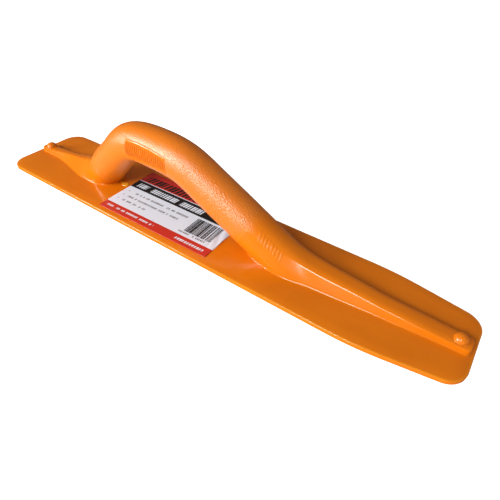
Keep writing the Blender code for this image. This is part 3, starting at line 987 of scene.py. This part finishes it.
def orange_plastic(name, ior):
    """Glossy moulded plastic, with a fine spark texture where a mesh says grain."""
    graph = Graph(name)
    grain = graph.attribute("grain")
    clouds = graph.noise(45.0, 3.0)
    flow = graph.noise(9.0, 3.0, (0.2, 1.0, 1.0))
    mottle = graph.noise(1.3, 2.0)
    spark = graph.noise(0.75, 0.0)
    ripple = graph.noise(7.0, 1.0)
    scuffs = graph.noise(0.8, 4.0, (0.06, 1.0, 1.0))

    body = graph.mix(graph.fit(clouds, 0.3, 0.7), ORANGE, LIGHT_ORANGE)
    body = graph.mix(graph.fit(flow, 0.45, 0.75, to_high=0.25), body, DEEP_ORANGE)
    # Lighter mottled specks on the grain: partly random tone, partly painted sheen for the paler look of
    # the rough texture
    speck_and_sheen = graph.math("MULTIPLY", grain, graph.fit(mottle, 0.42, 0.72, to_high=0.15))
    body = graph.mix(speck_and_sheen, body, SPECK_AND_SHEEN_ORANGE)
    # Painted highlight: an amber tint on the rim's crest and the mould pad, as the mesh's tint attribute
    # gives
    body = graph.mix(graph.math("MULTIPLY", graph.attribute("highlight_tint"), 0.7), body, PAINTED_HIGHLIGHT_AMBER)

    streaks = graph.fit(flow, 0.3, 0.8, 0.14, 0.2)
    gloss = graph.math("ADD", streaks, graph.fit(scuffs, 0.62, 0.8, to_high=0.06))
    matt = graph.fit(mottle, 0.3, 0.7, 0.3, 0.36)
    smooth = graph.math("MULTIPLY", gloss, graph.math("SUBTRACT", 1.0, grain))
    roughness = graph.math("ADD", smooth, graph.math("MULTIPLY", matt, grain))

    normal = graph.bump(ripple, 0.015)
    normal = graph.bump(graph.math("MULTIPLY", spark, grain), 0.28, normal)
    return graph.set(Base_Color=body, Roughness=roughness, IOR=ior, Normal=normal)


def between(graph, value, low, high):
    """1 where the value lies between low and high, and 0 elsewhere."""
    above = graph.math("GREATER_THAN", value, low)
    return graph.math("MULTIPLY", above, graph.math("LESS_THAN", value, high))


def marks(graph, x, y, ends, middle, height, pitch, seed, slant=0.0, gaps=0.15):
    """A row of plain upright dashes of uneven width that stands for a line of print.

    Gaps is the share of dashes left out.
    """
    if slant:
        lean = graph.math("MULTIPLY", graph.math("SUBTRACT", y, middle), slant)
        x = graph.math("SUBTRACT", x, lean)
    cells = graph.math("DIVIDE", x, pitch)
    chance = graph.tree.nodes.new("ShaderNodeTexWhiteNoise")
    chance.noise_dimensions = "1D"
    graph.feed(chance.inputs["W"], graph.math("ADD", graph.math("FLOOR", cells), seed))
    chance = chance.outputs["Value"]
    width = graph.fit(chance, 0.0, 1.0, 0.5, 0.82)
    mark = graph.math("LESS_THAN", graph.math("FRACT", cells), width)
    mark = graph.math("MULTIPLY", mark, graph.math("GREATER_THAN", chance, gaps))
    mark = graph.math("MULTIPLY", mark, between(graph, x, *ends))
    return graph.math("MULTIPLY", mark, between(graph, y, middle - height / 2, middle + height / 2))


def printed_film():
    """Generic label print: colour bands, rows of dashes and a block of bars."""
    graph = Graph("printed_film")
    axes = graph.tree.nodes.new("ShaderNodeSeparateXYZ")
    graph.feed(axes.inputs[0], graph.place)
    x, y = [graph.math("MULTIPLY", axes.outputs[i], 1.0 / MM) for i in (0, 1)]

    colour = graph.mix(between(graph, y, *NEAR_BAND), FILM_WHITE, PRINT_RED)
    colour = graph.mix(between(graph, y, *MIDDLE_BAND), colour, PRINT_BLACK)
    colour = graph.mix(between(graph, y, *FAR_BAND), colour, PRINT_RED)

    for end, middle, seed in SMALL_PRINT:
        line = marks(graph, x, y, (SMALL_PRINT_START, end), middle, 2.1, 1.75, seed, slant=0.2)
        dot = between(graph, y, middle - DOT_HALF, middle + DOT_HALF)
        dot = graph.math("MULTIPLY", dot, between(graph, x, *DOT_X))
        colour = graph.mix(graph.math("MAXIMUM", line, dot), colour, PRINT_GREY)
    for ends, seed in LARGE_PRINT:
        word = marks(graph, x, y, ends, 9.4, 6.0, 2.5, seed, slant=0.15, gaps=0.0)
        colour = graph.mix(word, colour, FILM_WHITE)
    title = marks(graph, x, y, (-50.0, 44.0), 21.6, 8.4, 3.9, 12.0, slant=0.3, gaps=0.0)
    colour = graph.mix(title, colour, PRINT_BLACK)
    footer = marks(graph, x, y, (-50.0, 0.3), -26.6, 1.9, 1.8, 21.0, slant=0.2)
    colour = graph.mix(footer, colour, FILM_WHITE)
    code = marks(graph, x, y, (21.4, 50.2), -27.0, 2.3, 2.3, 31.0, slant=0.2)
    colour = graph.mix(code, colour, FILM_WHITE)

    thick = marks(graph, x, y, BARS_X, BARS_MIDDLE, BARS_HEIGHT, 1.05, 61.0, gaps=0.12)
    thin = marks(graph, x, y, BARS_X, BARS_MIDDLE, BARS_HEIGHT, 0.62, 71.0, gaps=0.45)
    colour = graph.mix(graph.math("MAXIMUM", thick, thin), colour, PRINT_BLACK)
    caption = marks(graph, x, y, (19.0, 48.4), -18.9, 1.7, 1.5, 91.0)
    colour = graph.mix(caption, colour, PRINT_GREY)

    normal = graph.bump(graph.noise(5.0, 2.0), 0.03)
    roughness = graph.fit(graph.noise(14.0, 3.0), 0.3, 0.7, 0.26, 0.38)
    return graph.set(Base_Color=colour, Roughness=roughness, Normal=normal)


# ---------------------------------------------------------------- set

def build_camera():
    """Camera that looks down along its yaw and pitch, rolled about its view."""
    pitch, yaw, roll = CAMERA_PITCH, CAMERA_YAW, CAMERA_ROLL
    forward = Vector((math.cos(yaw) * math.cos(pitch), math.sin(yaw) * math.cos(pitch), -math.sin(pitch)))
    level = Vector((math.sin(yaw), -math.cos(yaw), 0.0))
    down = forward.cross(level)
    right = math.cos(roll) * level + math.sin(roll) * down
    down = math.cos(roll) * down - math.sin(roll) * level
    camera = bpy.data.objects.new("camera", bpy.data.cameras.new("camera"))
    bpy.context.scene.collection.objects.link(camera)
    turn = Matrix((right, -down, -forward)).transposed()
    camera.matrix_world = Matrix.Translation(Vector(CAMERA_PLACE) * MM) @ turn.to_4x4()
    camera.data.sensor_width = SENSOR_WIDTH
    camera.data.lens = SENSOR_WIDTH * FOCAL_SHARE
    camera.data.shift_x, camera.data.shift_y = CAMERA_SHIFT
    camera.data.clip_start = NEAR_CLIP
    bpy.context.scene.camera = camera


def soft_light(name, azimuth, elevation, distance, size, power):
    """A rectangular lamp, in metres and watts, that faces the object.

    Azimuth is measured from +X towards +Y, in degrees.
    """
    lamp = bpy.data.lights.new(name, "AREA")
    lamp.shape = "RECTANGLE"
    lamp.size, lamp.size_y = size
    lamp.energy = power
    item = bpy.data.objects.new(name, lamp)
    turn, rise = math.radians(azimuth), math.radians(elevation)
    aim = Vector(LIGHT_AIM)
    back = Vector((math.cos(turn) * math.cos(rise), math.sin(turn) * math.cos(rise), math.sin(rise)))
    item.location = aim + back * distance
    item.rotation_euler = back.to_track_quat("Z", "Y").to_euler()
    bpy.context.scene.collection.objects.link(item)


def build_room():
    """Pale room with soft fill light that is stronger from the toe's side."""
    world = bpy.data.worlds.new("room")
    world.use_nodes = True
    tree = world.node_tree
    place = tree.nodes.new("ShaderNodeTexCoord")
    axes = tree.nodes.new("ShaderNodeSeparateXYZ")
    fill = tree.nodes.new("ShaderNodeMapRange")
    tree.links.new(place.outputs["Generated"], axes.inputs[0])
    tree.links.new(axes.outputs[0], fill.inputs["Value"])
    fill.inputs["From Min"].default_value = -1.0
    fill.inputs["To Min"].default_value = ROOM_FILL * (1.0 - ROOM_TILT)
    fill.inputs["To Max"].default_value = ROOM_FILL * (1.0 + ROOM_TILT)
    ray = tree.nodes.new("ShaderNodeLightPath")
    choose = tree.nodes.new("ShaderNodeMix")
    tree.links.new(ray.outputs["Is Glossy Ray"], choose.inputs["Factor"])
    tree.links.new(fill.outputs[0], choose.inputs["A"])
    choose.inputs["B"].default_value = ROOM_SHEEN
    show = tree.nodes.new("ShaderNodeMix")
    tree.links.new(ray.outputs["Is Camera Ray"], show.inputs["Factor"])
    tree.links.new(choose.outputs[0], show.inputs["A"])
    show.inputs["B"].default_value = ROOM_BACKDROP
    background = tree.nodes["Background"]
    background.inputs["Color"].default_value = (1.0, 1.0, 1.0, 1.0)
    tree.links.new(show.outputs[0], background.inputs["Strength"])
    return world


def build_set():
    """Pale floor, room and two soft lamps."""
    mesh = bpy.data.meshes.new("floor")
    corners = [(x * FLOOR_REACH, y * FLOOR_REACH, 0.0) for x, y in ((-1, -1), (1, -1), (1, 1), (-1, 1))]
    mesh.from_pydata(corners, [], [(0, 1, 2, 3)])
    floor = bpy.data.objects.new("floor", mesh)
    floor.location.z = -FLOOR_DROP
    floor.visible_glossy = False
    bpy.context.scene.collection.objects.link(floor)
    paint = bpy.data.materials.new("pale_floor")
    paint.use_nodes = True
    shader = paint.node_tree.nodes["Principled BSDF"]
    shader.inputs["Base Color"].default_value = (0.85, 0.85, 0.85, 1.0)
    shader.inputs["Emission Color"].default_value = (1.0, 1.0, 1.0, 1.0)
    shader.inputs["Emission Strength"].default_value = FLOOR_GLOW
    shader.inputs["Roughness"].default_value = 0.9
    shader.inputs["Specular IOR Level"].default_value = 0.1
    mesh.materials.append(paint)
    bpy.context.scene.world = build_room()
    soft_light("key", azimuth=-94.0, elevation=36.5, distance=1.6, size=(0.55, 0.55), power=17.0)
    soft_light("low_front", azimuth=-134.0, elevation=18.0, distance=1.4, size=(0.5, 0.45), power=21.0)
    bpy.context.scene.view_settings.view_transform = "Standard"


build_camera()
build_set()
plastic = orange_plastic("orange_plastic", BODY_IOR)
build_blade(plastic)
build_pad(plastic)
build_frame(plastic)
build_foot_ribs(plastic)
build_grip(orange_plastic("grip_plastic", GRIP_IOR))
for node in ("rear_stud", "front_stud"):
    build_stud(node, plastic)
build_label(printed_film())
